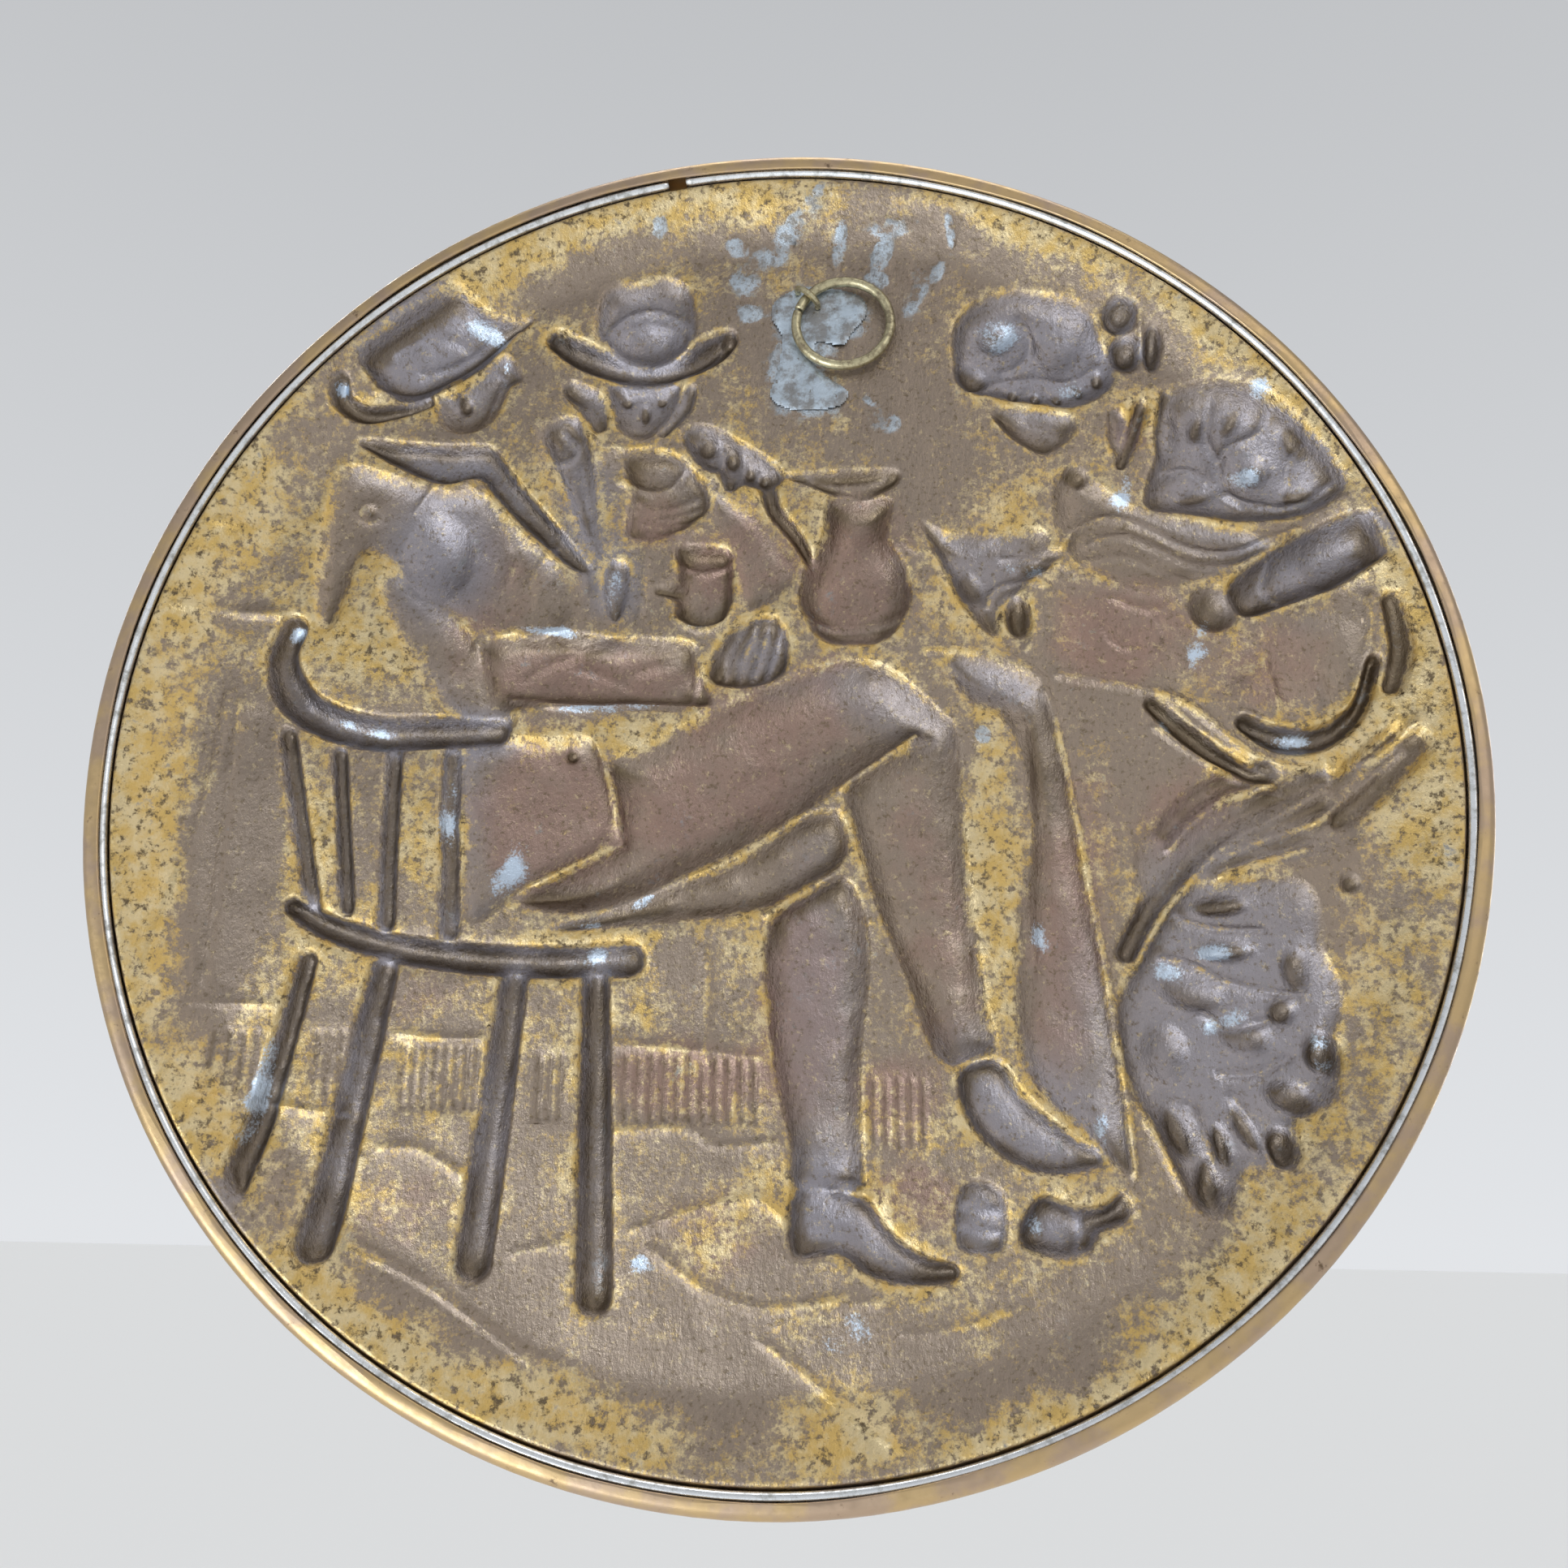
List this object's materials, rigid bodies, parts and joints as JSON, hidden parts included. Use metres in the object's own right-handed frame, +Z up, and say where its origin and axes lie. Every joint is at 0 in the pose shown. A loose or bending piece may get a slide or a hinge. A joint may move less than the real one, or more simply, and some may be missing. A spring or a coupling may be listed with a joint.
{
  "type": "embossed brass wall plaque",
  "caption": "Round embossed brass wall plaque with a tavern scene pressed into a dished sheet, a wired hem and a hanging ring soldered to the back.",
  "frame": {"origin": "foot of the ring's lug on the back of the sheet, where the plaque is hung from", "axes": "+Z up as hung, +Y out of the back toward the wall, the scene stands out toward -Y"},
  "size_m": [0.355, 0.0176, 0.355],
  "materials": {
    "aged_brass": "satin ochre brass on the ridges and the dish, dark violet-brown patina in the hollows",
    "bright_wire": "bright tinned wire, scuffed",
    "dull_brass": "dull greyed brass",
    "solder": "light blue-grey, rough"
  },
  "bodies": {
    "plaque": {"embossed_brass_sheet": "aged_brass", "rim_wire": "bright_wire", "ring_lug": "dull_brass", "solder_patch": "solder"},
    "ring": {"hanging_ring": "dull_brass"}
  },
  "joints": [
    {"name": "ring_swing", "type": "hinge", "parent": "plaque", "child": "ring", "pos_m": [0, 0.00265, 0], "axis": [0.6428, 0, -0.766], "range_deg": [0, 160]}
  ]
}
